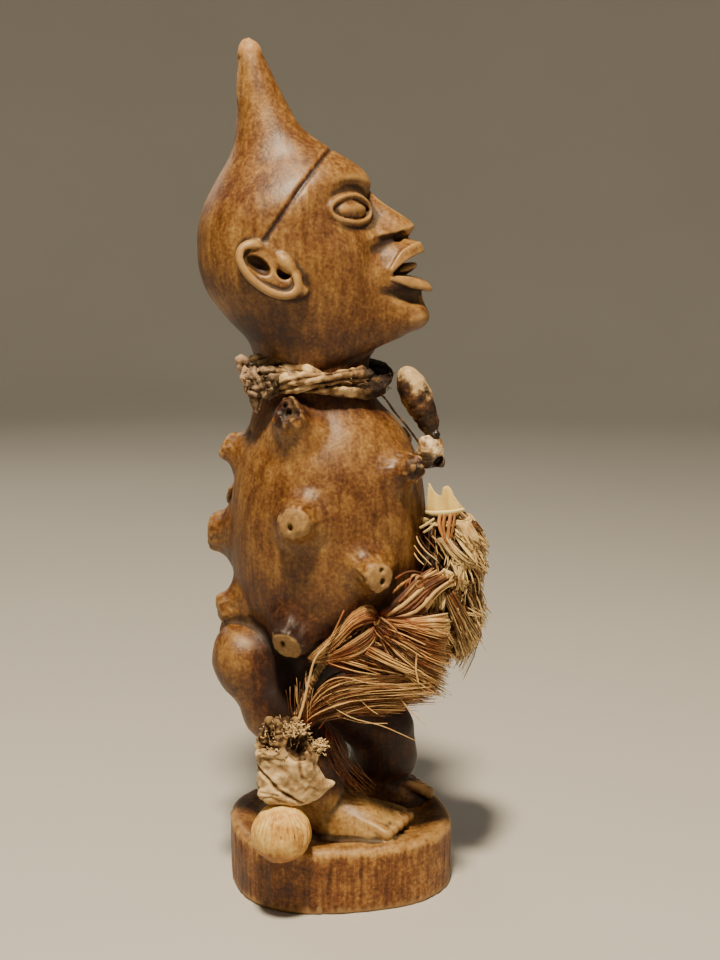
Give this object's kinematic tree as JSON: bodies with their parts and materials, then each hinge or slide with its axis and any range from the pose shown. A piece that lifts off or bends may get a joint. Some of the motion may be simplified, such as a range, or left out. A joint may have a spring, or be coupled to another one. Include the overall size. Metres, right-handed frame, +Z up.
{
  "type": "carved power figure",
  "caption": "Standing carved wooden power figure with a tall pointed crown and knob-studded trunk on a low base, hung with fibre, cloth and a nut.",
  "frame": {"origin": "middle of the base's flat underside", "axes": "+Z up; +X the way the figure faces; +Y the figure's left"},
  "size_m": [0.1018, 0.0918, 0.3],
  "materials": {
    "wood": "hand-rubbed dark brown wood with a dull polish, warm orange-brown where worn",
    "neck_cloth": "old twisted plant-fibre cloth, tan with dark creases",
    "knot_cloth": "ragged grey-brown knotted cloth",
    "pod": "dull brown seed pod, paler and worn at its top",
    "shell": "cream and brown shell, lightly glossy",
    "fibre": "cut raffia and leaf fibre, dark red-brown with pale tips",
    "leaf": "pale yellow dried leaf",
    "feather": "dry feather and raffia strands, red-brown to tan",
    "packet_cloth": "earth-crusted ochre cloth in folds",
    "nut": "light tan nut shell, dull, with dark cracks"
  },
  "bodies": {
    "root": {"carved_figure": "wood", "neck_cloth": "neck_cloth", "nape_knot": "knot_cloth", "chest_pod": "pod", "chest_shell": "shell", "hip_cord": "fibre", "belly_packet": "fibre", "pale_leaf": "leaf", "hip_tuft": "feather", "sweep_tuft": "feather", "cloth_packet": "packet_cloth", "hanging_nut": "nut"}
  },
  "joints": []
}
